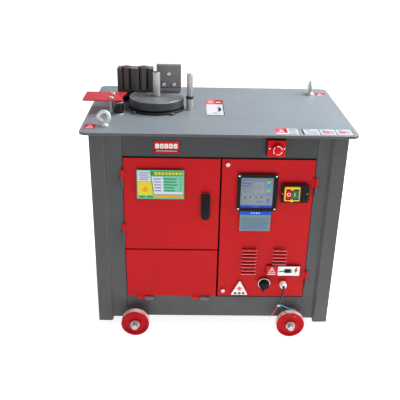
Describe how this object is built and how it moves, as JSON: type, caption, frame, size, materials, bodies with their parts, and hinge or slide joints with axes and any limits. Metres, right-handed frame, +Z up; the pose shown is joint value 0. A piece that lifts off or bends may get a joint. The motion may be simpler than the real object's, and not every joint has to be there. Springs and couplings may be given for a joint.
{
  "type": "rebar bender",
  "caption": "Bench-type rebar bender: wheeled steel cabinet with hinged doors and control panel, table top with driven bending disk, mandrel pin, roller fence and gauge plate.",
  "frame": {"origin": "on the floor, under the middle of the whole machine's bounding box", "axes": "+X to the operator's right along the table's length, +Y to the rear, +Z up out of the table"},
  "size_m": [0.943, 0.68, 0.9485],
  "materials": {
    "table_paint": "satin grey paint",
    "frame_paint": "satin dark grey powder coat",
    "red_paint": "semi-gloss red powder coat",
    "wheel_red": "glossy red",
    "disk_iron": "machined, oil-blackened",
    "cast_iron": "rough casting",
    "forged_iron": "heat-darkened steel with rust bloom",
    "black_steel": "gloss black",
    "bright_steel": "turned",
    "chrome": "bright zinc plate",
    "zinc_sheet": "galvanised",
    "bronze": "cast bronze",
    "motor_paint": "grey-blue motor enamel",
    "belt_rubber": "fabric-backed rubber",
    "black_plastic": "satin moulded",
    "red_plastic": "gloss moulded",
    "green_plastic": "gloss moulded",
    "white_plastic": "nylon",
    "cord_jacket": "matt PVC",
    "core_red": "PVC insulation",
    "core_blue": "PVC insulation",
    "core_green": "PVC insulation"
  },
  "bodies": {
    "cabinet": {"table_top": "table_paint", "front_left_post": "frame_paint", "front_right_post": "frame_paint", "rear_left_post": "frame_paint", "rear_right_post": "frame_paint", "front_top_rail": "frame_paint", "front_bottom_rail": "frame_paint", "door_mullion": "frame_paint", "left_side_panel": "frame_paint", "right_side_panel": "frame_paint", "rear_panel": "frame_paint", "floor_pan": "frame_paint", "partition": "zinc_sheet", "left_axle": "bright_steel", "right_axle": "bright_steel", "bearing_housing": "cast_iron", "gearbox_housing": "cast_iron", "motor": "motor_paint", "drive_belt": "belt_rubber", "fence_body": "forged_iron", "fence_plate": "forged_iron", "gauge_plate": "red_paint", "rear_gauge_stud": "chrome", "front_gauge_stud": "chrome", "gauge_pillar": "black_steel", "front_eye_bolt": "chrome", "rear_eye_bolt": "chrome", "estop_box": "red_plastic", "electrical_plate": "zinc_sheet", "switchgear": "black_plastic"},
    "turntable": {"turntable": "disk_iron", "output_shaft": "bright_steel", "worm_wheel": "bronze"},
    "worm_line": {"worm_shaft": "bright_steel", "driven_pulley": "cast_iron"},
    "motor_rotor": {"motor_pulley": "cast_iron"},
    "mandrel_pin": {"mandrel_pin": "bright_steel"},
    "spare_pin": {"spare_pin": "bright_steel"},
    "left_fence_roller": {"left_fence_roller": "forged_iron"},
    "right_fence_roller": {"right_fence_roller": "forged_iron"},
    "front_left_wheel": {"front_left_wheel": "wheel_red"},
    "front_right_wheel": {"front_right_wheel": "wheel_red"},
    "rear_left_wheel": {"rear_left_wheel": "wheel_red"},
    "rear_right_wheel": {"rear_right_wheel": "wheel_red"},
    "upper_door": {"upper_door": "red_paint", "latch_plate": "black_plastic"},
    "latch_lever": {"latch_lever": "black_plastic"},
    "lower_flap": {"lower_flap": "red_paint"},
    "control_door": {"control_door": "red_paint", "controller": "black_plastic", "switch_housing": "black_plastic", "cable_gland": "white_plastic", "power_cord": "cord_jacket", "red_core": "core_red", "blue_core": "core_blue", "green_core": "core_green"},
    "stop_button": {"stop_button": "red_plastic"},
    "start_button": {"start_button": "green_plastic"},
    "selector_knob": {"selector_knob": "black_plastic"},
    "estop_button": {"estop_button": "red_plastic"}
  },
  "joints": [
    {"name": "turntable_spin", "type": "hinge", "parent": "cabinet", "child": "turntable", "pos_m": [-0.2155, -0.004, 0.845], "axis": [0, 0, 1], "continuous": true},
    {"name": "worm_spin", "type": "hinge", "parent": "cabinet", "child": "worm_line", "pos_m": [0.0065, 0.0925, 0.65], "axis": [1, 0, 0], "continuous": true},
    {"name": "motor_spin", "type": "hinge", "parent": "cabinet", "child": "motor_rotor", "pos_m": [0.0065, 0.0925, 0.19], "axis": [1, 0, 0], "continuous": true},
    {"name": "mandrel_lift", "type": "slide", "parent": "turntable", "child": "mandrel_pin", "axis": [0, 0, 1], "range_m": [0, 0.03]},
    {"name": "spare_pin_lift", "type": "slide", "parent": "cabinet", "child": "spare_pin", "axis": [0, 0, 1], "range_m": [0, 0.05]},
    {"name": "left_roller_spin", "type": "hinge", "parent": "cabinet", "child": "left_fence_roller", "pos_m": [-0.329, 0.059, 0.89], "axis": [0, 0, 1], "continuous": true},
    {"name": "right_roller_spin", "type": "hinge", "parent": "cabinet", "child": "right_fence_roller", "pos_m": [-0.2655, 0.0605, 0.89], "axis": [0, 0, 1], "continuous": true},
    {"name": "front_left_wheel_spin", "type": "hinge", "parent": "cabinet", "child": "front_left_wheel", "pos_m": [-0.2885, -0.303, 0.05255], "axis": [0, 1, 0], "continuous": true},
    {"name": "front_right_wheel_spin", "type": "hinge", "parent": "cabinet", "child": "front_right_wheel", "pos_m": [0.2965, -0.303, 0.05255], "axis": [0, 1, 0], "continuous": true},
    {"name": "rear_left_wheel_spin", "type": "hinge", "parent": "cabinet", "child": "rear_left_wheel", "pos_m": [-0.2885, 0.303, 0.05255], "axis": [0, 1, 0], "continuous": true},
    {"name": "rear_right_wheel_spin", "type": "hinge", "parent": "cabinet", "child": "rear_right_wheel", "pos_m": [0.2965, 0.303, 0.05255], "axis": [0, 1, 0], "continuous": true},
    {"name": "upper_door_hinge", "type": "hinge", "parent": "cabinet", "child": "upper_door", "pos_m": [-0.3235, -0.269, 0.525], "axis": [0, 0, 1], "range_deg": [-110, 0]},
    {"name": "latch_lever_hinge", "type": "hinge", "parent": "upper_door", "child": "latch_lever", "pos_m": [-0.034, -0.2703, 0.55], "axis": [-1, 0, 0], "range_deg": [0, 35]},
    {"name": "lower_flap_hinge", "type": "hinge", "parent": "cabinet", "child": "lower_flap", "pos_m": [-0.149, -0.2685, 0.139], "axis": [1, 0, 0], "range_deg": [0, 90]},
    {"name": "control_door_hinge", "type": "hinge", "parent": "cabinet", "child": "control_door", "pos_m": [0.3485, -0.269, 0.415], "axis": [0, 0, 1], "range_deg": [0, 110]},
    {"name": "stop_press", "type": "slide", "parent": "control_door", "child": "stop_button", "axis": [0, 1, 0], "range_m": [0, 0.003], "stiffness_N_per_m": 500, "springref_m": -0.001},
    {"name": "start_press", "type": "slide", "parent": "control_door", "child": "start_button", "axis": [0, 1, 0], "range_m": [0, 0.003], "stiffness_N_per_m": 500, "springref_m": -0.001},
    {"name": "selector_turn", "type": "hinge", "parent": "control_door", "child": "selector_knob", "pos_m": [0.1915, -0.27, 0.2095], "axis": [0, -1, 0], "range_deg": [0, 90]},
    {"name": "estop_press", "type": "slide", "parent": "cabinet", "child": "estop_button", "axis": [0, 1, 0], "range_m": [0, 0.004], "stiffness_N_per_m": 1000, "springref_m": -0.001}
  ],
  "couplings": [
    {"joint": "worm_spin", "follows": "turntable_spin", "ratio": 30},
    {"joint": "motor_spin", "follows": "turntable_spin", "ratio": 55.455}
  ]
}
